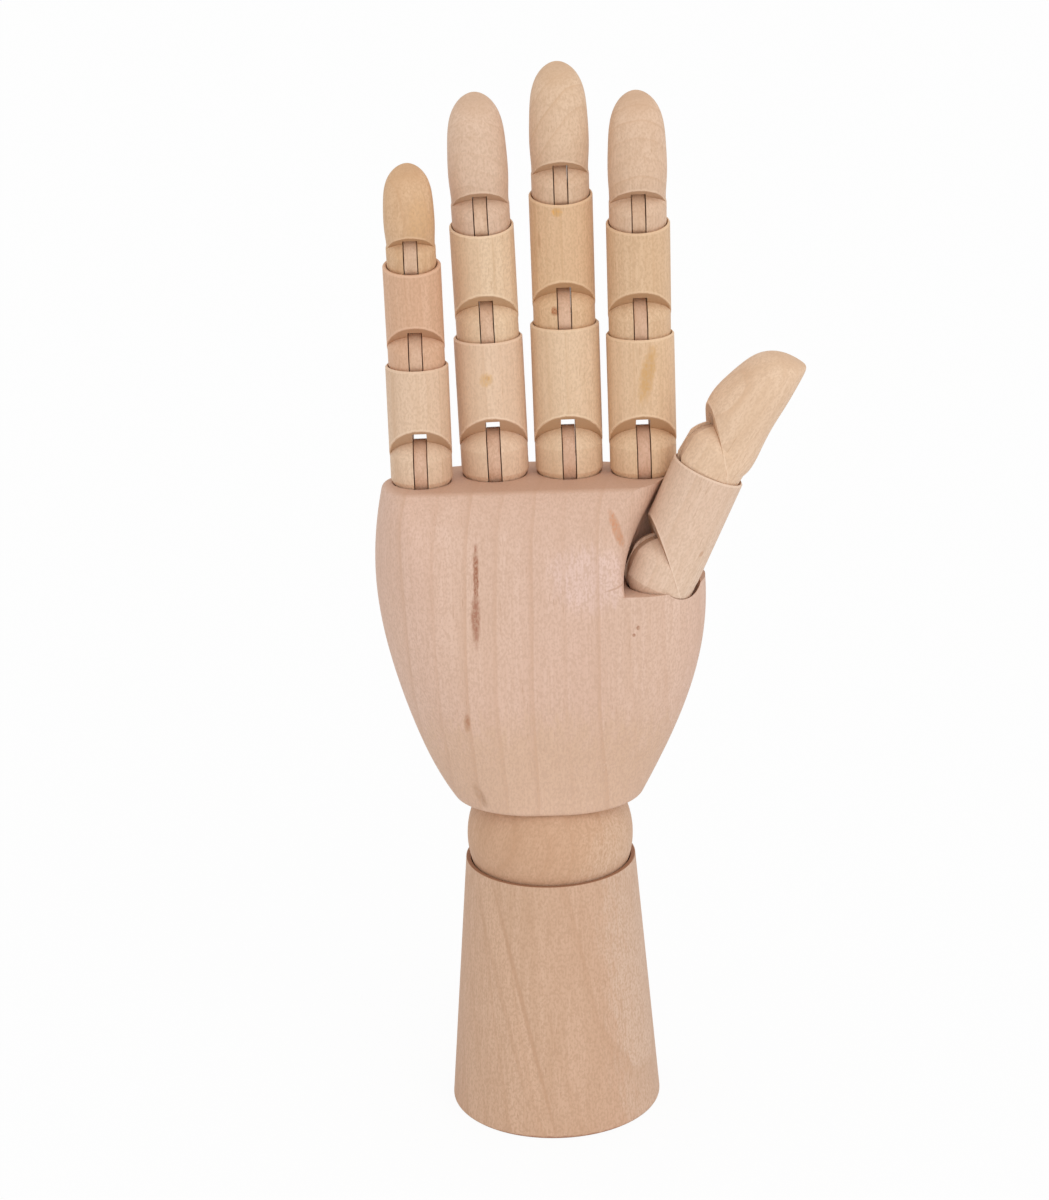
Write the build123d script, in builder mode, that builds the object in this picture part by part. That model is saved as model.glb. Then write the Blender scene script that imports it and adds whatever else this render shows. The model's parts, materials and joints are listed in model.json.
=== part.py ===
from build123d import *
import math
import os

# Jointed wooden right hand, standing upright on a turned forearm.
# Millimetres, +Z up. The origin is the middle of the foot, the palm faces -Y and the thumb is at +X.

os.makedirs("parts", exist_ok=True)

# Forearm base: a turned cone with a cup in its top for the wrist ball
foot_radius = 30.0
base_rim_radius = 24.0
base_height = 75.0
foot_edge = 0.8
rim_bevel = 0.8

# Wrist: a ball between two cups, pulled together by a spring on two cross pins
ball_radius = 23.4
ball_rise = 6.7
ball_gap = 0.35
bore_radius = 6.2
ball_bore_radius = 7.0
bore_edge = 1.5
spring_radius = 5.0
spring_wire = 1.6
hook_wire = 1.4
spring_pin_radius = 1.5
spring_pin_length = 26.0
spring_pin_depth = 6.5
spring_hook_gap = 0.05
spring_end_gap = 0.4
upper_pin_rise = 28.0
upper_pin_back = 16.0

# Palm: six sections from the wrist to the knuckles, each flat in front and rounded behind
palm_lift = 13.2
palm_height = 92.2
hand_width = 90.0
wrist_width = 0.589 * hand_width
heel_width = 0.829 * hand_width
middle_width = 0.969 * hand_width
brow_width = 0.948 * hand_width
knuckle_width = 0.922 * hand_width
wrist_front = 21.2
heel_front = 22.4
middle_front = 23.2
hand_front = 22.4
brow_front = 19.0
knuckle_front = 15.0
wrist_back = 21.2
heel_back = 20.6
middle_back = 18.8
hand_back = 16.6
brow_back = 15.2
knuckle_back = 14.8
heel_share = 0.25
middle_share = 0.50
hand_share = 0.74
brow_share = 0.94
hand_shift = -1.0
knuckle_shift = -1.6
palm_edge = 2.2
wrist_edge = 1.0
flat_share = 0.76
flat_least = 3.0
side_share = 0.35

# Fingers: where each stands on the palm, how it leans, and its three rods
little_x = -0.36 * hand_width
little_y = -2.5
little_lean = 0.4
little_radius = 8.5
little_middle_radius = 7.75
little_tip_radius = 6.7
little_length = 32.8
little_middle_length = 26.0
little_tip_length = 24.5
ring_x = -0.139 * hand_width
ring_y = 3.2
ring_lean = 1.4
ring_radius = 9.3
ring_middle_radius = 8.55
ring_tip_radius = 7.85
ring_length = 38.7
ring_middle_length = 29.0
ring_tip_length = 32.6
middle_x = 0.0867 * hand_width
middle_y = 3.8
middle_lean = 0.6
middle_radius = 9.3
middle_middle_radius = 8.45
middle_tip_radius = 7.75
middle_length = 41.7
middle_middle_length = 33.9
middle_tip_length = 32.3
index_x = 0.311 * hand_width
index_y = 2.0
index_lean = 0.6
index_radius = 9.2
index_middle_radius = 8.5
index_tip_radius = 7.75
index_length = 38.7
index_middle_length = 28.8
index_tip_length = 32.4
middle_curl = 11.0
tip_curl = 9.0

# Fingertips: slices by share of the taper, with their width, depth and nail side as shares of the radius
tip_slices = (
    (0.36, 0.985, 0.94, 1.0),
    (0.66, 0.92, 0.81, 1.0),
    (0.87, 0.74, 0.65, 1.0),
    (0.965, 0.50, 0.48, 0.99),
    (1.0, 0.27, 0.32, 0.92),
)

# Thumb: a seat milled into the palm's side, below a hollow that is carved round the thumb
thumb_x = 0.3606 * hand_width
thumb_y = -10.8
thumb_seat_rise = 63.9
thumb_lean = 24.2
thumb_tip_back = 6.8
thumb_turn = 12.0
thumb_radius = 10.0
thumb_tip_radius = 9.4
thumb_length = 30.8
thumb_tip_length = 33.7
thumb_outward = 2.0
scoop_radius = 12.4
scoop_gap = 0.8

# The hollow's slices by share of its height: the radius of its soft shoulder, and the palm's front there
scoop_slices = (
    (0.0, 1.5, 22.8),
    (0.25, 6.0, 22.4),
    (0.62, 12.0, 21.0),
    (1.15, 13.0, 13.5),
)

# Knuckles: a ball on the upper piece turns in a cup of the lower one, on a tongue and a pin
knuckle_share = 1.05
knuckle_step = 0.12
cup_gap = 0.35
stop_gap = 0.3
tongue_share = 0.86
stem_share = 0.58
tongue_thickness = 3.2
tongue_gap = 0.35
tongue_grip = 5.0
glue_gap = 0.05
pin_radius = 0.8
pin_fit = 0.02
pin_running = 0.06
pin_share = 0.72
rod_edge = 0.4

# Shares of the piece's radius: the pin above the seat, and above the pin the front notch at the sides,
# the notch in front and the top of the slot
root_knuckle = (0.52, 0.46, 1.41, 1.27)
upper_knuckle = (0.38, 0.28, 1.42, 1.12)
thumb_knuckle = (0.38, 0.14, 1.34, 1.10)

palm_bottom = base_height + ball_rise + palm_lift
palm_top = palm_bottom + palm_height
ball_centre = base_height + ball_rise
thumb_seat = palm_bottom + thumb_seat_rise
straight_up = Vector(0, 0, 1)


def save(piece, name):
    """Labels a finished piece and writes it as its own node."""
    piece.part.label = name
    export_step(piece.part, f"parts/{name}.step")


def seat_of(knuckle, radius):
    """Height of a knuckle's pin above the rim of its cup."""
    return knuckle[0] * radius


def cut_cup(frame, radius):
    """Cuts the cup and the tongue's mortise of the knuckle whose pin is at frame, in the open piece."""
    ball = knuckle_share * radius
    depth = ball + cup_gap + tongue_grip
    width = 2 * (stem_share * radius + glue_gap)
    with Locations(frame):
        Sphere(ball + cup_gap, mode=Mode.SUBTRACT)
        Box(
            tongue_thickness + 2 * glue_gap,
            width,
            depth + glue_gap,
            align=(Align.CENTER, Align.CENTER, Align.MAX),
            mode=Mode.SUBTRACT,
        )


def make_tongue(name, frame, radius):
    """A flat wooden disc about the pin, with a stem that is glued into the lower piece."""
    depth = knuckle_share * radius + cup_gap + tongue_grip
    with BuildPart() as strip:
        with BuildSketch(Plane.YZ):
            Circle(tongue_share * radius)
            Rectangle(2 * stem_share * radius, depth, align=(Align.CENTER, Align.MAX))
            Circle(pin_radius + pin_running, mode=Mode.SUBTRACT)
        extrude(amount=tongue_thickness / 2, both=True)
    with BuildPart(frame) as tongue:
        add(strip.part)
    save(tongue, name)


def make_pin(name, frame, radius, side):
    """A steel brad through a knuckle, driven in from one side until its end is sunk."""
    with BuildPart(frame) as pin:
        Cylinder(pin_radius, 2 * pin_share * radius, rotation=(0, 90 * side, 0))
    save(pin, name)


def straight_rod(radius, length):
    """The turned rod of a finger's lower pieces, from below its pin to its rim."""
    with BuildPart() as rod:
        Cylinder(radius, length + radius, align=(Align.CENTER, Align.CENTER, Align.MAX))
        chamfer(rod.edges().sort_by(Axis.Z)[-1], rod_edge)
    return rod.part.moved(Location((0, 0, length)))


def tip_section(height, width, depth, nail):
    """One slice of a fingertip: an ellipse whose back lies on the nail side."""
    with BuildSketch(Plane.XY.offset(height)) as slice_sketch:
        with Locations((0, nail - depth)):
            Ellipse(width, depth)
    return slice_sketch.sketch


def tip_rod(radius, length, straight):
    """A fingertip: straight along the nail side, sloping and rounded on the pad side."""
    taper = length - straight
    slices = [tip_section(height, radius, radius, radius) for height in (-radius, 0, straight)]
    for share, width, depth, nail in tip_slices:
        height = straight + share * taper
        slices.append(tip_section(height, width * radius, depth * radius, nail * radius))
    with BuildPart() as rod:
        loft(sections=slices)
    return rod.part


def knuckle_end(radius):
    """The round lower end of a piece: a ball about the pin, no wider than the rod."""
    with BuildPart() as end:
        Sphere(knuckle_share * radius)
        Cylinder(radius - knuckle_step, 4 * radius, mode=Mode.INTERSECT)
    return end.part


def make_piece(name, frame, rod, radius, knuckle, stop_normal, side, upper=None, upper_radius=None):
    """A finger piece about its own pin at frame: notched in front, slotted for the tongue below it."""
    seat, notch_side, notch_front, slot_top = [share * radius for share in knuckle]
    notch_normal = Vector(0, notch_front - notch_side, radius)
    with BuildPart() as local:
        add(rod)
        split(bisect_by=Plane(stop_normal * (stop_gap - seat), z_dir=stop_normal), keep=Keep.TOP)
        split(bisect_by=Plane((0, 0, notch_side), z_dir=notch_normal), keep=Keep.TOP)
        add(knuckle_end(radius))
        with Locations((0, 0, slot_top)):
            Box(
                tongue_thickness + 2 * tongue_gap,
                4 * radius,
                slot_top + 2 * radius,
                align=(Align.CENTER, Align.CENTER, Align.MAX),
                mode=Mode.SUBTRACT,
            )
        with Locations((-pin_share * radius * side, 0, 0)):
            Cylinder(
                pin_radius + pin_fit,
                2 * radius,
                rotation=(0, 90 * side, 0),
                align=(Align.CENTER, Align.CENTER, Align.MIN),
                mode=Mode.SUBTRACT,
            )
        if upper is not None:
            cut_cup(upper, upper_radius)
    with BuildPart(frame) as piece:
        add(local.part)
    save(piece, name)


def pin_above(length, upper_radius):
    """Place of the next pin, in the own frame of a piece that is length long."""
    return Plane((0, 0, length + seat_of(upper_knuckle, upper_radius)))


def placed(frame, inner):
    """A plane given in frame's own axes, as a plane of the whole hand."""
    return Plane(frame.location * inner.location)


def bent(frame, angle):
    """A knuckle's frame turned about its own pin, towards the palm side where angle is positive."""
    return Plane(frame.location * Location((0, 0, 0), (angle, 0, 0)))


def make_finger(name, root, radii, lengths):
    """Three pieces, three tongues and three pins, from the pin in the palm upwards."""
    first, second, third = radii
    make_tongue(f"{name}_root_tongue", root, first)
    make_pin(f"{name}_root_pin", root, first, 1)
    reach = lengths[0] - seat_of(root_knuckle, first)
    upper = pin_above(reach, second)
    rod = straight_rod(first, reach)
    make_piece(f"{name}_proximal", root, rod, first, root_knuckle, straight_up, 1, upper, second)

    middle = placed(root, upper)
    make_tongue(f"{name}_middle_tongue", middle, second)
    middle = bent(middle, middle_curl)
    make_pin(f"{name}_middle_pin", middle, second, 1)
    upper = pin_above(lengths[1], third)
    rod = straight_rod(second, lengths[1])
    make_piece(f"{name}_middle", middle, rod, second, upper_knuckle, straight_up, 1, upper, third)

    tip = placed(middle, upper)
    make_tongue(f"{name}_tip_tongue", tip, third)
    tip = bent(tip, tip_curl)
    make_pin(f"{name}_tip_pin", tip, third, 1)
    rod = tip_rod(third, lengths[2], upper_knuckle[2] * third)
    make_piece(f"{name}_tip", tip, rod, third, upper_knuckle, straight_up, 1)
    print(name, "pins", root.origin, middle.origin, tip.origin, "axis", root.x_dir)


def finger_root(x, y, lean, radius):
    """Frame of a finger's pin in the palm, with its own Z along the finger and its X along the pin."""
    tilt = math.radians(lean)
    return Plane(
        (x, y, palm_top + seat_of(root_knuckle, radius)),
        x_dir=(math.cos(tilt), 0, math.sin(tilt)),
        z_dir=(-math.sin(tilt), 0, math.cos(tilt)),
    )


# Forearm base
with BuildPart() as forearm_base:
    with BuildSketch(Plane.XZ):
        with BuildLine():
            Polyline(
                (0, 0),
                (foot_radius, 0),
                (base_rim_radius, base_height),
                (0, base_height),
                close=True,
            )
        make_face()
    revolve(axis=Axis.Z)
    fillet(forearm_base.edges().group_by(Axis.Z)[0], foot_edge)
    with Locations((0, 0, ball_centre)):
        Sphere(ball_radius + ball_gap, mode=Mode.SUBTRACT)
    cup_edge = math.sqrt((ball_radius + ball_gap) ** 2 - ball_rise**2)
    with Locations((0, 0, base_height)):
        Cone(
            cup_edge - rim_bevel,
            cup_edge + rim_bevel,
            2 * rim_bevel,
            mode=Mode.SUBTRACT,
        )
    Cylinder(bore_radius, base_height, align=(Align.CENTER, Align.CENTER, Align.MIN), mode=Mode.SUBTRACT)
    Box(
        spring_pin_length + 2 * glue_gap,
        2 * (spring_pin_radius + glue_gap),
        spring_pin_depth,
        align=(Align.CENTER, Align.CENTER, Align.MIN),
        mode=Mode.SUBTRACT,
    )
save(forearm_base, "forearm_base")

# Wrist ball
with BuildPart(Plane.XY.offset(ball_centre)) as wrist_ball:
    Sphere(ball_radius)
    Cylinder(ball_bore_radius, 2 * ball_radius, mode=Mode.SUBTRACT)
    chamfer(wrist_ball.edges().filter_by(GeomType.CIRCLE), bore_edge)
save(wrist_ball, "wrist_ball")

# Spring and its two cross pins
lower_pin_height = spring_pin_depth - spring_pin_radius - glue_gap
upper_pin_height = ball_centre + upper_pin_rise
hook_radius = spring_radius - spring_wire
hook_lift = hook_radius - hook_wire / 2 - spring_pin_radius - spring_hook_gap
lower_hook = lower_pin_height + hook_lift
upper_hook = upper_pin_height - hook_lift

coil_bottom = lower_pin_height + spring_pin_radius + spring_end_gap
coil_top = upper_pin_height - spring_pin_radius - spring_end_gap

with BuildPart() as wrist_spring:
    with BuildSketch(Plane.XY.offset(coil_bottom)):
        Circle(spring_radius)
        Circle(spring_radius - spring_wire, mode=Mode.SUBTRACT)
    extrude(amount=coil_top - coil_bottom)
    with Locations((0, 0, lower_hook)):
        Torus(hook_radius, hook_wire / 2, rotation=(0, 90, 0))
    with Locations((0, 0, upper_hook)):
        Torus(hook_radius, hook_wire / 2, rotation=(90, 0, 0))
save(wrist_spring, "wrist_spring")

with BuildPart(Plane.XY.offset(lower_pin_height)) as lower_spring_pin:
    Cylinder(spring_pin_radius, spring_pin_length, rotation=(0, 90, 0))
save(lower_spring_pin, "lower_spring_pin")

upper_pin_middle = upper_pin_back - spring_pin_length / 2
with BuildPart(Plane((0, upper_pin_middle, upper_pin_height))) as upper_spring_pin:
    Cylinder(spring_pin_radius, spring_pin_length, rotation=(90, 0, 0))
save(upper_spring_pin, "upper_spring_pin")


def palm_section(share, width, front, back, shift=0.0):
    """One level slice of the palm: flat in front, round at the sides, and a half ellipse behind."""
    half = width / 2
    flat = half * flat_share * share + flat_least
    side = -side_share * (front - wrist_front / 2) * share
    with BuildSketch(Plane.XY.offset(palm_bottom + share * palm_height)) as slice_sketch:
        with BuildLine(Plane.XY):
            Line((shift - flat, -front), (shift + flat, -front))
            EllipticalCenterArc((shift + flat, side), half - flat, front + side, 270, arc_size=90)
            EllipticalCenterArc((shift, side), half, back - side, 0, arc_size=90)
            EllipticalCenterArc((shift, side), half, back - side, 90, arc_size=90)
            EllipticalCenterArc((shift - flat, side), half - flat, front + side, 180, arc_size=90)
        make_face()
    return slice_sketch.sketch


little_root = finger_root(little_x, little_y, little_lean, little_radius)
ring_root = finger_root(ring_x, ring_y, ring_lean, ring_radius)
middle_root = finger_root(middle_x, middle_y, middle_lean, middle_radius)
index_root = finger_root(index_x, index_y, index_lean, index_radius)

lean = math.radians(thumb_lean)
turn = math.radians(thumb_turn)
thumb_axis = (math.sin(lean), 0, math.cos(lean))
thumb_pin_rise = seat_of(thumb_knuckle, thumb_radius)
thumb_root = Plane(
    (thumb_x, thumb_y, thumb_seat + thumb_pin_rise),
    x_dir=(math.sin(turn) * math.cos(lean), -math.cos(turn), -math.sin(turn) * math.sin(lean)),
    z_dir=thumb_axis,
)
thumb_mortise = bent(thumb_root, thumb_lean)
level = Vector(thumb_root.x_dir.Z, thumb_root.y_dir.Z, thumb_root.z_dir.Z)
thumb_stop = level.rotate(Axis.X, thumb_outward)



def scoop_section(share, shoulder, front):
    """One level slice of the thumb's hollow: a soft shoulder from the palm's front, then a round."""
    rise = share * (palm_top - thumb_seat)
    middle = thumb_x + (rise - thumb_pin_rise) * math.tan(lean)
    back = thumb_y + thumb_radius + scoop_gap
    drop = back - scoop_radius + front - shoulder
    reach = math.sqrt((scoop_radius + shoulder) ** 2 - drop**2)
    bend = math.degrees(math.atan2(drop, reach))
    start = middle - reach
    with BuildSketch(Plane.XY.offset(thumb_seat + rise)) as slice_sketch:
        with BuildLine():
            CenterArc((start, shoulder - front), shoulder, 270, 90 + bend)
            CenterArc((middle, back - scoop_radius), scoop_radius, 180 + bend, -90 - bend)
            Polyline(
                (middle, back),
                (hand_width, back),
                (hand_width, -hand_width),
                (start, -hand_width),
                (start, -front),
            )
        make_face()
    return slice_sketch.sketch


# Palm
with BuildPart() as scoop:
    loft(sections=[scoop_section(*slice_values) for slice_values in scoop_slices])

with BuildPart() as palm:
    loft(
        sections=[
            palm_section(0, wrist_width, wrist_front, wrist_back),
            palm_section(heel_share, heel_width, heel_front, heel_back),
            palm_section(middle_share, middle_width, middle_front, middle_back),
            palm_section(hand_share, hand_width, hand_front, hand_back, hand_shift),
            palm_section(brow_share, brow_width, brow_front, brow_back, knuckle_shift),
            palm_section(1, knuckle_width, knuckle_front, knuckle_back, knuckle_shift),
        ]
    )
    fillet(palm.faces().sort_by(Axis.Z)[-1].edges(), palm_edge)
    fillet(palm.faces().sort_by(Axis.Z)[0].edges(), wrist_edge)
    add(scoop.part, mode=Mode.SUBTRACT)
    cut_cup(little_root, little_radius)
    cut_cup(ring_root, ring_radius)
    cut_cup(middle_root, middle_radius)
    cut_cup(index_root, index_radius)
    cut_cup(thumb_mortise, thumb_radius)
    with Locations((0, 0, ball_centre)):
        Sphere(ball_radius + ball_gap, mode=Mode.SUBTRACT)
        Cylinder(
            bore_radius,
            upper_pin_rise + spring_radius,
            align=(Align.CENTER, Align.CENTER, Align.MIN),
            mode=Mode.SUBTRACT,
        )
    with Locations((0, upper_pin_back - spring_pin_length - glue_gap, upper_pin_height)):
        Cylinder(
            spring_pin_radius + pin_fit,
            2 * spring_pin_length,
            rotation=(-90, 0, 0),
            align=(Align.CENTER, Align.CENTER, Align.MIN),
            mode=Mode.SUBTRACT,
        )
save(palm, "palm")

# Fingers
make_finger(
    "little",
    little_root,
    (little_radius, little_middle_radius, little_tip_radius),
    (little_length, little_middle_length, little_tip_length),
)
make_finger(
    "ring",
    ring_root,
    (ring_radius, ring_middle_radius, ring_tip_radius),
    (ring_length, ring_middle_length, ring_tip_length),
)
make_finger(
    "middle",
    middle_root,
    (middle_radius, middle_middle_radius, middle_tip_radius),
    (middle_length, middle_middle_length, middle_tip_length),
)
make_finger(
    "index",
    index_root,
    (index_radius, index_middle_radius, index_tip_radius),
    (index_length, index_middle_length, index_tip_length),
)

# Thumb
thumb_upper = pin_above(thumb_length, thumb_tip_radius)
thumb_tip = placed(thumb_root, thumb_upper)
make_tongue("thumb_root_tongue", thumb_mortise, thumb_radius)
make_pin("thumb_root_pin", thumb_root, thumb_radius, -1)
make_piece(
    "thumb_proximal",
    thumb_root,
    straight_rod(thumb_radius, thumb_length),
    thumb_radius,
    thumb_knuckle,
    thumb_stop,
    -1,
    thumb_upper,
    thumb_tip_radius,
)
make_tongue("thumb_tip_tongue", thumb_tip, thumb_tip_radius)
thumb_tip = bent(thumb_tip, -thumb_tip_back)
thumb_tip_stop = straight_up.rotate(Axis.X, thumb_tip_back)
make_pin("thumb_tip_pin", thumb_tip, thumb_tip_radius, -1)
thumb_end = tip_rod(thumb_tip_radius, thumb_tip_length, thumb_knuckle[2] * thumb_tip_radius)
make_piece("thumb_tip", thumb_tip, thumb_end, thumb_tip_radius, thumb_knuckle, thumb_tip_stop, -1)
print("thumb pins", thumb_root.origin, thumb_tip.origin, "axis", thumb_root.x_dir)
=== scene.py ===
import json
import math

import bpy
from mathutils import Matrix, Vector


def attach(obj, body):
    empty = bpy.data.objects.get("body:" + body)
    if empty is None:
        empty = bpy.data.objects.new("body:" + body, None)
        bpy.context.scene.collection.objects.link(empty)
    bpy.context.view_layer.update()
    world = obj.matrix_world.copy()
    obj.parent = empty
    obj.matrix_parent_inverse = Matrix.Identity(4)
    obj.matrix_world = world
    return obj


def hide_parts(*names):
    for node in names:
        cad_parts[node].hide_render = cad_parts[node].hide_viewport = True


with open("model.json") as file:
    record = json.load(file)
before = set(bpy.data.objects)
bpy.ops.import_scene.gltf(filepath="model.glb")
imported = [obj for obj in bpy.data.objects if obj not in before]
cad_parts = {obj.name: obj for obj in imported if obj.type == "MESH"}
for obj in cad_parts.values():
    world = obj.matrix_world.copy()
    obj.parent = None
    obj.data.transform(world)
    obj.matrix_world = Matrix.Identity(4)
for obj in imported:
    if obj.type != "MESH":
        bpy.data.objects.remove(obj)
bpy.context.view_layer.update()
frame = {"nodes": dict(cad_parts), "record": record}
nodes = frame["nodes"]

# Forearm base
# A cone turned from one block of pale hardwood, sanded and left bare. Its grain runs up the cone, and the
# turned sides cut slanting through the growth rings, which leaves a pale band with darker edges.


class Wire:
    """One shader socket. Arithmetic on it adds the Math nodes that work it out."""

    def __init__(self, tree, socket=None):
        self.tree = tree
        self.socket = socket

    def add(self, kind, settings=None, inputs=None, output=0):
        """Adds a node, with its settings set first and then its sockets, and gives one of its outputs."""
        made = self.tree.nodes.new(kind)
        for name, value in (settings or {}).items():
            setattr(made, name, value)
        for name, value in (inputs or {}).items():
            if isinstance(value, Wire):
                self.tree.links.new(value.socket, made.inputs[name])
            else:
                made.inputs[name].default_value = value
        return Wire(self.tree, made.outputs[output])

    def maths(self, operation, *values):
        return self.add("ShaderNodeMath", {"operation": operation}, dict(enumerate(values)))

    def __add__(self, other):
        return self.maths("ADD", self, other)

    def __radd__(self, other):
        return self.maths("ADD", other, self)

    def __sub__(self, other):
        return self.maths("SUBTRACT", self, other)

    def __rsub__(self, other):
        return self.maths("SUBTRACT", other, self)

    def __mul__(self, other):
        return self.maths("MULTIPLY", self, other)

    def __rmul__(self, other):
        return self.maths("MULTIPLY", other, self)

    def __truediv__(self, other):
        return self.maths("DIVIDE", self, other)

    def ease(self, low, high):
        """0 below low, 1 above high and a smooth rise between them."""
        return self.add(
            "ShaderNodeMapRange",
            {"interpolation_type": "SMOOTHSTEP"},
            {"Value": self, "From Min": low, "From Max": high},
        )

    def parts(self):
        """The X, Y and Z of a vector."""
        split = self.add("ShaderNodeSeparateXYZ", inputs={0: self})
        return [Wire(self.tree, output) for output in split.socket.node.outputs]

    def lay(self, colour, over):
        """This mask lays a colour over another one."""
        inputs = {"Factor": self, 6: over, 7: colour}
        return self.add("ShaderNodeMix", {"data_type": "RGBA"}, inputs, output=2)

    def feed(self, shader, name):
        self.tree.links.new(self.socket, shader.inputs[name])


def shade(red, green, blue):
    """A colour as it looks on a screen, 0 to 255, turned into the linear one that a shader takes."""
    linear = [((value / 255 + 0.055) / 1.055) ** 2.4 for value in (red, green, blue)]
    return (*linear, 1)


def tinted(colour, red, green, blue):
    return (colour[0] * red, colour[1] * green, colour[2] * blue, 1)


def wood(
    name, colour, pith=(60, 25), spacing=5.0, place=(0, 0, 0), turn=(0, 0, 0), slope=0.0, rings=0.4, seed=0,
    marks=(), notch=None, rim=None, cup_shade=None,
):
    """Bare sanded wood. place and turn lay its Z along the grain, and pith is the middle of its growth rings.

    place is in metres, other lengths in mm. spacing is a ring's width, slope its lean and rings its strength.

    A mark is (x, z, half width, half length, lean in degrees, colour, weight) on the side facing -Y. A notch is
    (radius, its rise at the sides, its rise in front, the way it faces in degrees); its wall is darkened as end
    grain and painted shade, and its lip is paled as torn fibres and a painted highlight. rim is the height of a
    rod's upper end, where a ragged band is paled as torn fibres and a painted highlight. cup_shade is (height,
    radius) of a cup whose inside is darkened as painted shade.
    """
    material = bpy.data.materials.new(name)
    material.use_nodes = True
    tree = material.node_tree
    finish = tree.nodes["Principled BSDF"]
    point = Wire(tree).add("ShaderNodeTexCoord", output="Object")
    local = point.add(
        "ShaderNodeMapping",
        {"vector_type": "TEXTURE"},
        {"Vector": point, "Location": place, "Rotation": [math.radians(a) for a in turn], "Scale": (0.001,) * 3},
    )
    x, y, z = local.parts()

    def cloud(stretch, scale, detail=2.0, kind="ShaderNodeTexNoise", output=0):
        shift = (seed * 17.3, seed * 7.1, seed * 31.7)
        moved = local.add("ShaderNodeVectorMath", {"operation": "MULTIPLY_ADD"}, {0: local, 1: stretch, 2: shift})
        inputs = {"Vector": moved, "Scale": scale}
        if kind == "ShaderNodeTexNoise":
            inputs["Detail"] = detail
        return local.add(kind, inputs=inputs, output=output)

    # Growth rings about the pith, each with its own strength, swaying a little up the piece
    flat = local.add("ShaderNodeVectorMath", {"operation": "MULTIPLY"}, {0: local, 1: (1, 1, 0)})
    away = flat.add("ShaderNodeVectorMath", {"operation": "DISTANCE"}, {0: flat, 1: (*pith, 0)}, "Value")
    sway = (cloud((1, 1, 0.12), 0.06) - 0.5) * 5
    year = (away + sway + z * slope) / spacing
    count = year.maths("FLOOR", year)
    each = year.add("ShaderNodeTexWhiteNoise", {"noise_dimensions": "1D"}, {"W": count}, "Value")
    within = year.maths("FRACT", year)
    late = within.ease(0.2, 0.95) * 0.3 + within.ease(0.78, 0.95) * 0.7
    late = late * (1 - within.ease(0.96, 1.0)) * (0.3 + each * 0.7)

    # Broad tone, long streaks, fibres, stipple, pores and ray flecks
    broad = cloud((1, 1, 0.2), 0.035).ease(0.3, 0.7)
    drift = cloud((1, 1, 0.3), 0.022).ease(0.35, 0.65)
    streak = cloud((1, 1, 0.02), 0.45).ease(0.35, 0.7)
    fibre = cloud((1, 1, 0.035), 2.2, 3).ease(0.3, 0.75)
    stipple = cloud((1, 1, 0.6), 1.8, 1).ease(0.44, 0.62)
    dash = cloud((1, 1, 0.09), 1.15, kind="ShaderNodeTexVoronoi")
    pore = (1 - dash.ease(0.08, 0.2)) * cloud((1, 1, 0.3), 0.12).ease(0.45, 0.62)
    fleck = cloud((0.55, 1, 0.3), 1.5, kind="ShaderNodeTexVoronoi")
    ray = (1 - fleck.ease(0.12, 0.3)) * cloud((1, 1, 1), 0.07).ease(0.52, 0.66)

    # End grain, where the surface faces along the grain
    facing = point.add("ShaderNodeTexCoord", output="Normal")
    tip_over = Matrix.Rotation(math.radians(turn[0]), 3, "X")
    along = Matrix.Rotation(math.radians(turn[1]), 3, "Y") @ tip_over @ Vector((0, 0, 1))
    end = facing.add("ShaderNodeVectorMath", {"operation": "DOT_PRODUCT"}, {0: facing, 1: along}, "Value")
    end = end.maths("ABSOLUTE", end).ease(0.6, 0.98)

    tone = broad * 0.55 + streak * 0.45
    look = tone.lay(tinted(colour, 0.95, 0.92, 0.87), tinted(colour, 1.12, 1.15, 1.18))
    look = (drift * 0.6).lay(tinted(colour, 1.01, 0.96, 0.97), look)
    front = (0 - y).ease(-10, 10)
    ragged = cloud((1, 1, 0.25), 0.7, 3) - 0.5
    torn = cloud((1, 1, 0.5), 1.3, 3) - 0.5
    broad_mark = 3
    for mark_x, mark_z, wide, long, lean, tint, weight in marks:
        cos, sin = math.cos(math.radians(lean)), math.sin(math.radians(lean))
        dx, dz = x - mark_x, z - mark_z
        across = (dx * cos - dz * sin) / wide
        down = (dx * sin + dz * cos) / long
        reach = across * across + down * down + (ragged * 1.6 if wide > broad_mark else torn * 1.1)
        look = ((1 - reach.ease(0.1, 1.0)) * front * weight).lay(tint, look)
    look = (late * rings).lay(tinted(colour, 0.82, 0.7, 0.58), look)
    look = (fibre * 0.38).lay(tinted(colour, 0.85, 0.79, 0.72), look)
    look = (stipple * 0.5).lay(tinted(colour, 0.82, 0.77, 0.71), look)
    look = (ray * 0.35).lay(tinted(colour, 1.12, 1.14, 1.12), look)
    look = (pore * 0.45).lay(tinted(colour, 0.66, 0.54, 0.44), look)
    look = (end * 0.55).lay(tinted(colour, 0.84, 0.76, 0.68), look)
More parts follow.
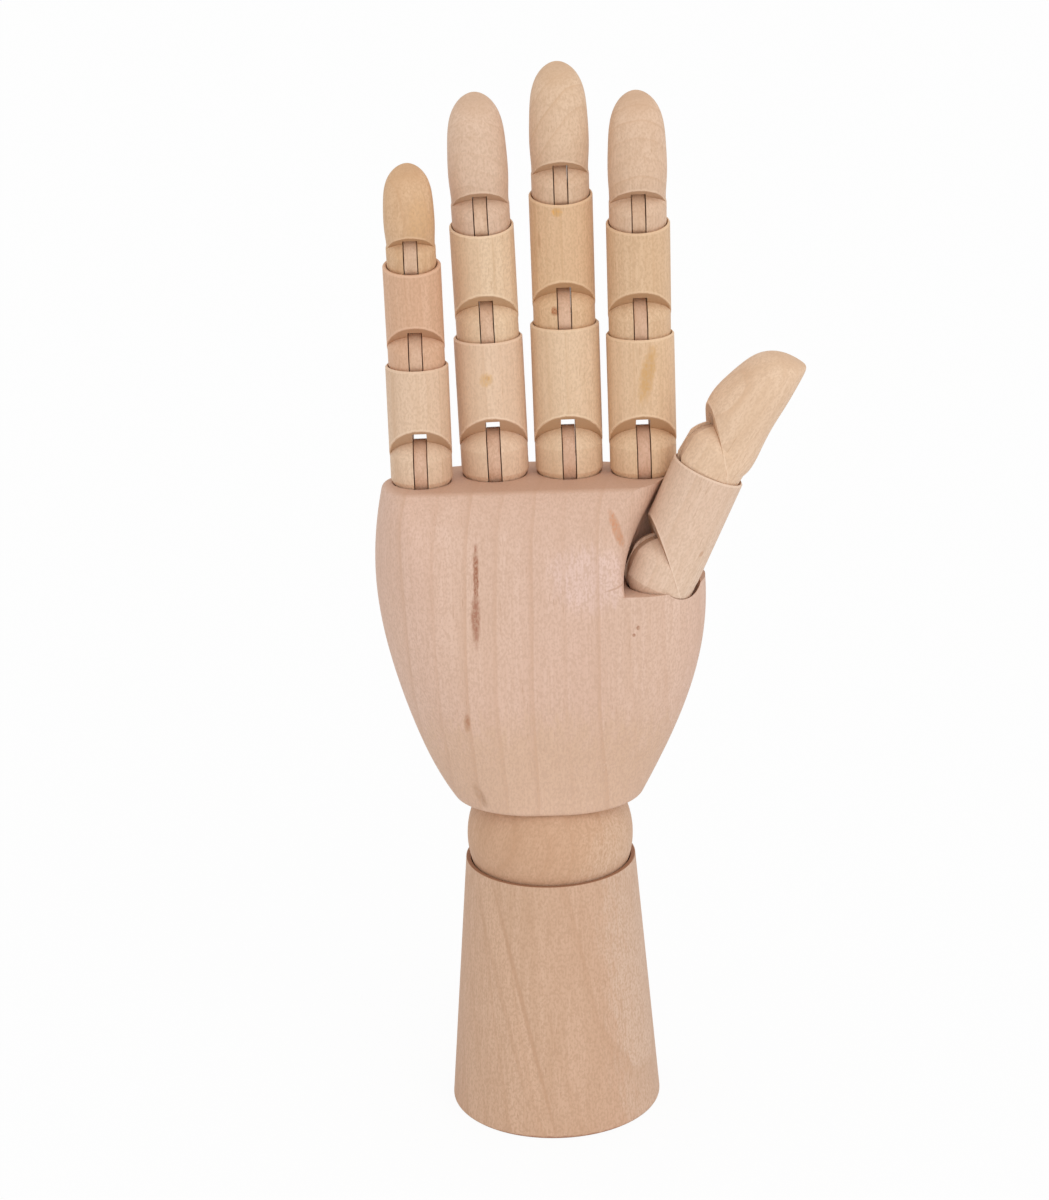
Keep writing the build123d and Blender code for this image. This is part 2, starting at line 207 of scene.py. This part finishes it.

    # The notch is cut across the grain. Its wall is darkened as end grain and as painted shade under the
    # overhanging lip, and the lip is paled as slightly torn fibres and a painted highlight
    if notch:
        radius, side, ahead, way = notch
        forward = x * math.sin(math.radians(way)) + y * math.cos(math.radians(way))
        above = z - side + forward * ((ahead - side) / radius)
        out = flat.add("ShaderNodeVectorMath", {"operation": "LENGTH"}, {0: flat}, "Value") / radius
        # Painted shade together with end grain: the notch's wall is darkened red-brown
        cut = 1 - above.maths("ABSOLUTE", above).ease(0.08, 0.2)
        look = (cut * (1 - out.ease(0.95, 0.99)) * 0.8).lay(tinted(colour, 0.62, 0.49, 0.38), look)
        # Painted highlight together with torn fibres: a pale ragged line along the notch's lip
        torn_edge = above + ragged * 0.9
        lip = torn_edge.ease(-0.1, 0.15) * (1 - torn_edge.ease(0.3, 0.7)) * out.ease(0.94, 0.98)
        look = (lip * 0.6).lay(tinted(colour, 1.14, 1.17, 1.2), look)
    # Painted shade: the inside of a cup, under the ball it holds, is darkened red-brown
    if cup_shade:
        cup_height, radius = cup_shade
        cup = (0, 0, cup_height)
        into = local.add("ShaderNodeVectorMath", {"operation": "DISTANCE"}, {0: local, 1: cup}, "Value")
        look = ((1 - into.ease(radius, radius + 0.3)) * 0.85).lay(tinted(colour, 0.5, 0.34, 0.26), look)
    if rim:
        # Painted highlight together with torn fibres: a pale ragged band at the rod's upper rim
        edge = (z + ragged * 0.7).ease(rim - 0.7, rim - 0.4)
        look = (edge * 0.55).lay(tinted(colour, 1.14, 1.17, 1.2), look)
    look.feed(finish, "Base Color")
    (0.54 + fibre * 0.12 + end * 0.1 - late * 0.05).feed(finish, "Roughness")
    finish.inputs["Specular IOR Level"].default_value = 0.32
    height = fibre * 0.5 + stipple * 0.25 - pore * 0.6 + late * 0.2
    bump = height.add("ShaderNodeBump", inputs={"Strength": 0.35, "Distance": 0.0001, "Height": height})
    bump.feed(finish, "Normal")
    return material


def dress(name, material):
    nodes[name].data.materials.clear()
    nodes[name].data.materials.append(material)


base = shade(206, 170, 143)
dress("forearm_base", wood(
    # The base's cup around the ball is darkened as painted shade
    "base_wood", base, pith=(-70, 40), spacing=8, slope=0.2, rings=0.35, seed=1, cup_shade=(81.7, 24.6),
    marks=(
        (-11.4, 38, 3.4, 60, -12.2, tinted(base, 1.12, 1.13, 1.14), 0.8),
        (-14.6, 39, 0.8, 40, -12.2, tinted(base, 0.84, 0.74, 0.64), 0.35),
        (-8.5, 37, 0.8, 48, -12.2, tinted(base, 0.82, 0.7, 0.6), 0.5),
        # Painted contact shadow: a thin dark red-brown line along the foot's bottom edge, strongest in front
        (2, 0, 30, 1.1, 0, shade(150, 92, 74), 0.8),
        # Painted light: the right side of the cone is paler, as lit from the right
        (27, 40, 14, 140, -3.9, tinted(base, 1.14, 1.26, 1.4), 0.9),
    ),
))

# Wrist spring and its cross pins
# A close-wound steel extension spring runs through the ball and pulls palm, ball and base together. Its end
# loops hang on two steel pins that are driven across the base and the palm and sunk.


def steel(name, pitch=0.0):
    """Drawn steel with fine scratches along Z. A pitch in mm winds it as the turns of a spring, with painted shade
    in the grooves between the turns.
    """
    material = bpy.data.materials.new(name)
    material.use_nodes = True
    tree = material.node_tree
    finish = tree.nodes["Principled BSDF"]
    point = Wire(tree).add("ShaderNodeTexCoord", output="Object")
    z = point.parts()[2]
    scratch = point.add("ShaderNodeVectorMath", {"operation": "MULTIPLY"}, {0: point, 1: (1, 1, 0.05)})
    scratch = scratch.add("ShaderNodeTexNoise", inputs={"Vector": scratch, "Scale": 4000, "Detail": 3})
    height = scratch * 0.2
    scratches_and_shade = scratch * 0.3
    if pitch:
        turns = z * (1000 / pitch)
        turn = turns.maths("PINGPONG", turns, 0.5) * 2
        height = height + turn.ease(0, 0.8)
        # Painted shade in the grooves between the spring's turns
        scratches_and_shade = scratches_and_shade + (1 - turn.ease(0, 0.35)) * 0.7
    scratches_and_shade.lay((0.16, 0.15, 0.14, 1), (0.56, 0.55, 0.53, 1)).feed(finish, "Base Color")
    (0.28 + scratch * 0.2).feed(finish, "Roughness")
    finish.inputs["Metallic"].default_value = 1
    bump = height.add("ShaderNodeBump", inputs={"Strength": 0.5, "Distance": 0.0004, "Height": height})
    bump.feed(finish, "Normal")
    return material


dress("wrist_spring", steel("spring_steel", pitch=1.6))
dress("lower_spring_pin", steel("pin_steel"))
dress("upper_spring_pin", nodes["lower_spring_pin"].data.materials[0])

# Wrist ball
# A ball turned from the same wood and bored for the spring, which holds it between the cups of base and palm.
# Its growth rings cross the right side as slanted lines, and that side is painted paler, as light falling from the
# right.

ball = shade(207, 168, 138)
dress("wrist_ball", wood(
    "ball_wood", ball,
    pith=(40, 30), spacing=4, place=(0, 0, 0.0817), turn=(0, 18, 0), rings=0.3, seed=2,
    # Painted light: the right side is paler, as lit from the right
    marks=((21, -2, 14, 60, 0, tinted(ball, 1.14, 1.26, 1.38), 0.8),),
))

# Palm
# One block of wood milled to shape and sanded, with cups for the fingers drilled in its top and a hollow and a
# seat cut for the thumb. The front shows wide growth rings, a brown streak, torn fibres and a few dots.

palm = shade(220, 187, 167)
dress("palm", wood(
    "palm_wood", palm, pith=(-150, 20), spacing=8.5, rings=0.5, seed=3,
    marks=(
        (-18.3, 166, 0.95, 11, 1.3, shade(154, 92, 62), 1.0),
        (-18.7, 154, 1.5, 9.5, 1.3, shade(166, 112, 88), 1.0),
        (-22.0, 123.6, 1.1, 3.6, 0, shade(168, 110, 78), 1.0),
        (-19.1, 100.1, 1.5, 4.8, -24.8, shade(138, 90, 68), 1.0),
        (19.6, 177.4, 1.5, 6.6, -17.2, shade(198, 112, 40), 1.0),
        (25.0, 150.2, 0.7, 0.8, 0, shade(160, 106, 78), 0.9),
        (23.8, 148.2, 0.6, 0.6, 0, shade(166, 112, 84), 0.9),
        (0, 106, 60, 24, 0, shade(216, 181, 150), 0.6),
        (10, 186, 60, 16, 0, shade(216, 180, 158), 0.6),
        # Painted highlight: a pale pink patch left of the thumb's seat, where the hollow's floor turns up to the
        # light
        (12.3, 164.1, 13, 11, 0, shade(236, 206, 198), 0.55),
        (19.0, 161.4, 0.35, 4.0, 72, shade(190, 150, 126), 0.7),
    ),
))

# Tongues
# A flat wooden strip is glued in the middle of each knuckle's cup and rises into the slot of the next piece,
# which turns on it. It is seen end on, a little pinker than the wood around it.

joints = {joint["name"]: joint for joint in frame["record"]["behaviour"]["joints"]}
strips = []


def tongue(name, body, joint, turn, radius, colour):
    """A round-ended strip on a stem, standing in the cup at a joint's pin. It thins a little towards its front."""
    reach, thickness, stem_thickness, stem_foot = 0.96 * radius, 3.2, 2.7, 5.2
    fuller, taper = 1.11, 0.07
    top, top_front, top_slope = 0.93 * radius, -0.25 * radius, 0.25
    bpy.ops.object.select_all(action="DESELECT")
    bpy.ops.mesh.primitive_cylinder_add(
        vertices=96, radius=reach, depth=thickness, rotation=(0, math.pi / 2, 0)
    )
    strip = bpy.context.object
    bpy.ops.object.transform_apply()
    bpy.ops.object.mode_set(mode="EDIT")
    bpy.ops.mesh.select_all(action="SELECT")
    bpy.ops.mesh.bisect(
        plane_co=(0, top_front, top), plane_no=(0, top_slope, 1), use_fill=True, clear_outer=True
    )
    bpy.ops.object.mode_set(mode="OBJECT")
    for vertex in strip.data.vertices:
        vertex.co.x *= fuller + taper * vertex.co.y / radius
    bpy.ops.object.select_all(action="DESELECT")
    bpy.ops.mesh.primitive_cube_add(size=1)
    stem = bpy.context.object
    depth = 1.05 * radius + stem_foot
    stem.scale = (stem_thickness, 1.1 * radius, depth)
    stem.location = (0, 0, -depth / 2)
    bpy.ops.object.transform_apply()
    union = strip.modifiers.new("stem", "BOOLEAN")
    union.operation = "UNION"
    union.object = stem
    soften = strip.modifiers.new("soften", "BEVEL")
    soften.width = 0.15
    soften.segments = 2
    soften.limit_method = "ANGLE"
    bpy.ops.object.select_all(action="DESELECT")
    strip.select_set(True)
    bpy.context.view_layer.objects.active = strip
    bpy.ops.object.modifier_apply(modifier="stem")
    bpy.ops.object.modifier_apply(modifier="soften")
    bpy.data.objects.remove(stem)
    strip.name = f"{name}_strip"
    lean = [Matrix.Rotation(math.radians(angle), 4, axis) for angle, axis in zip(turn, "XYZ")]
    strip.matrix_world = (
        Matrix.Translation(joints[joint]["pos_m"])
        @ lean[1] @ lean[0] @ lean[2]
        @ Matrix.Scale(0.001, 4)
    )
    bpy.ops.object.transform_apply()
    bpy.ops.object.shade_smooth_by_angle(angle=math.radians(35))
    strip.data.materials.append(wood(
        f"{name}_wood", colour, pith=(30, 40), spacing=2.4, place=joints[joint]["pos_m"],
        turn=turn[:2] + (0,), seed=40 + len(strips),
    ))
    strips.append(strip)
    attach(strip, body)
    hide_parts(name)


# Each finger's lean in degrees, and the radii of its three rods in mm. It bows forward towards its tip.
fingers = {
    "little": (0.4, (8.5, 7.75, 6.7)),
    "ring": (1.4, (9.3, 8.55, 7.85)),
    "middle": (0.6, (9.3, 8.45, 7.75)),
    "index": (0.6, (9.2, 8.5, 7.75)),
}
middle_bow, tip_bow = 11, 20
for digit, (lean, radii) in fingers.items():
    low, mid, high = [f"{digit}_{part}_bend" for part in ("root", "middle", "tip")]
    upright, bowed = (0, -lean, 0), (middle_bow, -lean, 0)
    tongue(f"{digit}_root_tongue", "hand", low, upright, radii[0], shade(216, 178, 152))
    tongue(f"{digit}_middle_tongue", f"{digit}_lower", mid, upright, radii[1], shade(218, 182, 154))
    tongue(f"{digit}_tip_tongue", f"{digit}_mid", high, bowed, radii[2], shade(220, 186, 158))

# Knuckle pins
# A short drawn steel pin is driven across each knuckle, through the slotted ball and its tongue. It is sunk
# below the wood on one side, so that only its hole shows there.

for name in nodes:
    if name.endswith("_pin") and "spring" not in name:
        dress(name, nodes["lower_spring_pin"].data.materials[0])

# Fingers
# Each finger has three turned rods, with a round notched knuckle below and a cup above for the next one. The
# tip's pad is sanded to a slope, which cuts the growth rings to arcs.


def rod(piece, joint, turn, colour, radius, knuckle, above=None, next_radius=0, way=0, **settings):
    """The wood of one rod, with its grain along the rod from its own pin up to the next joint's cup.

    knuckle is the rise of its notch at the sides and in front, as shares of the radius.
    """
    place = joints[joint]["pos_m"]
    side, ahead = knuckle
    rim = None
    if above:
        rod_length = (Vector(joints[above]["pos_m"]) - Vector(place)).length * 1000
        rim = rod_length - 0.38 * next_radius
    notch = (radius, side * radius, ahead * radius, way)
    dress(piece, wood(f"{piece}_wood", colour, place=place, turn=turn, notch=notch, rim=rim, **settings))


def finger(name, colours, proximal, middle, tip):
    """The three rods of one finger, from the palm up. Each has its own settings for the wood."""
    lean, radii = fingers[name]
    root_notch, upper_notch = (0.46, 1.41), (0.28, 1.42)
    low, mid, high = [f"{name}_{part}_bend" for part in ("root", "middle", "tip")]
    rod(f"{name}_proximal", low, (0, -lean, 0), colours[0], radii[0], root_notch, mid, radii[1], **proximal)
    rod(f"{name}_middle", mid, (middle_bow, -lean, 0), colours[1], radii[1], upper_notch, high, radii[2], **middle)
    rod(f"{name}_tip", high, (tip_bow, -lean, 0), colours[2], radii[2], upper_notch, **tip)


finger(
    "little", (shade(225, 195, 167), shade(221, 180, 150), shade(220, 182, 145)),
    dict(pith=(40, 14), spacing=3.6, seed=5),
    dict(pith=(-35, 22), spacing=3.2, seed=6),
    dict(pith=(45, 30), spacing=3, slope=0.1, seed=7, marks=((3, 14, 4, 8, 0, shade(214, 168, 118), 0.6),)),
)
finger(
    "ring", (shade(231, 201, 174), shade(231, 202, 170), shade(222, 192, 167)),
    dict(pith=(-50, 18), spacing=4, seed=8, marks=(
        (-1.0, 23.9, 2.2, 2.4, 20, shade(222, 178, 118), 0.8),
        (-0.6, 24.4, 0.7, 0.9, 0, shade(204, 150, 88), 0.7),
        (-1.2, 6.0, 1.2, 2.0, 0, shade(206, 150, 104), 0.6),
    )),
    dict(pith=(44, 26), spacing=3.4, seed=9),
    dict(pith=(-6, -30), spacing=5, slope=0.9, rings=0.3, seed=10),
)
finger(
    "middle", (shade(229, 200, 168), shade(225, 190, 153), shade(223, 192, 163)),
    dict(pith=(55, 12), spacing=4.2, seed=11),
    dict(pith=(-42, 30), spacing=3.6, seed=12, marks=(
        (-2.6, 3.3, 1.2, 1.6, 20, shade(166, 96, 52), 1.0),
        (-1.2, 32.0, 1.6, 1.6, 0, shade(226, 170, 92), 1.0),
        (-6.1, 23.2, 0.5, 2.8, 0, shade(186, 134, 96), 0.6),
    )),
    dict(pith=(16, -18), spacing=5, slope=0.5, rings=0.5, seed=13),
)
finger(
    "index", (shade(229, 197, 163), shade(222, 188, 153), shade(223, 191, 164)),
    dict(pith=(-46, 20), spacing=3.8, seed=14, marks=((1.4, 24.4, 2.4, 10, 12, shade(208, 162, 104), 0.9),)),
    dict(pith=(38, 24), spacing=3.4, seed=15),
    dict(pith=(0, -16), spacing=6, slope=1.0, rings=0.45, seed=16),
)

# Thumb
# Two rods like the fingers' own, turned a little thicker. The lower one stands in the palm's seat and leans
# against the hollow, and both bend towards the palm.

thumb_lean, thumb_tip_lean, thumb_way = 24.2, 31.0, 78
thumb_radius, thumb_tip_radius, thumb_notch = 10.0, 9.4, (0.14, 1.34)
tongue(
    "thumb_root_tongue", "hand", "thumb_root_bend",
    (0, 0, -thumb_way), thumb_radius, shade(216, 182, 156),
)
tongue(
    "thumb_tip_tongue", "thumb_lower", "thumb_tip_bend",
    (0, thumb_lean, -thumb_way), thumb_tip_radius, shade(218, 186, 160),
)
rod(
    "thumb_proximal", "thumb_root_bend", (0, thumb_lean, 0), shade(227, 199, 176),
    thumb_radius, thumb_notch, "thumb_tip_bend", thumb_tip_radius, thumb_way,
    pith=(45, 18), spacing=4, seed=17, marks=((6.4, 10.1, 0.6, 1.2, 10, shade(186, 136, 104), 0.7),),
)
rod(
    "thumb_tip", "thumb_tip_bend", (0, thumb_tip_lean, 0), shade(231, 200, 172),
    thumb_tip_radius, thumb_notch, way=thumb_way,
    pith=(30, 24), spacing=3.6, slope=0.2, rings=0.45, seed=18,
)

# Floor
# A plain sheet of white paper that the hand stands on. The camera sees it almost as pure white, with a faint
# shadow where the base stands.

bpy.ops.object.select_all(action="DESELECT")
bpy.ops.mesh.primitive_plane_add(size=12)
floor = bpy.context.object
floor.name = "floor"
paper = bpy.data.materials.new("white_paper")
paper.use_nodes = True
tree = paper.node_tree
sheet = tree.nodes["Principled BSDF"]
sheet.inputs["Roughness"].default_value = 0.9
sheet.inputs["Specular IOR Level"].default_value = 0.1
point = Wire(tree).add("ShaderNodeTexCoord", output="Object")
tooth = point.add("ShaderNodeTexNoise", inputs={"Vector": point, "Scale": 40, "Detail": 3})
tooth.lay((0.86, 0.86, 0.86, 1), (0.9, 0.9, 0.9, 1)).feed(sheet, "Base Color")
glow = point.add("ShaderNodeEmission", inputs={"Color": (1, 1, 1, 1), "Strength": 1})
seen = point.add("ShaderNodeLightPath", output="Is Camera Ray") * 0.93
both = point.add("ShaderNodeMixShader", inputs={0: seen, 1: Wire(tree, sheet.outputs[0]), 2: glow})
both.feed(tree.nodes["Material Output"], "Surface")
floor.data.materials.append(paper)

# Light
# Even white light from all round, which the camera sees as a white backdrop, and one broad soft key from the
# front, above and a little to the right.

world = bpy.data.worlds.new("studio")
bpy.context.scene.world = world
world.use_nodes = True
tree = world.node_tree
path = Wire(tree).add("ShaderNodeLightPath", output="Is Camera Ray")
room = path.add("ShaderNodeBackground", inputs={"Color": (1, 1, 1, 1), "Strength": 0.84})
sky = path.add("ShaderNodeBackground", inputs={"Color": (1, 1, 1, 1), "Strength": 1})
path.add("ShaderNodeMixShader", inputs={0: path, 1: room, 2: sky}).feed(tree.nodes["World Output"], "Surface")

bpy.ops.object.light_add(type="SUN", location=(0.8, -1.4, 1.4))
key = bpy.context.object
key.name = "key"
key.data.energy = 0.7
key.data.angle = math.radians(60)
key.rotation_mode = "QUATERNION"
key.rotation_quaternion = Vector((-0.45, 1.0, -0.6)).to_track_quat("-Z", "Y")

# Camera
# A long lens in front of the hand and above it, looking down 19 degrees and turned a little about its own
# axis.

bpy.ops.object.camera_add()
camera = bpy.context.object
camera.data.lens = 95.1
camera.data.sensor_width = 36
camera.matrix_world = (
    Matrix.Translation((-0.00545, -0.828, 0.4363))
    @ Matrix.Rotation(math.radians(71.0), 4, "X")
    @ Matrix.Rotation(math.radians(-1.6), 4, "Z")
)
bpy.context.scene.camera = camera
bpy.context.scene.view_settings.view_transform = "Standard"
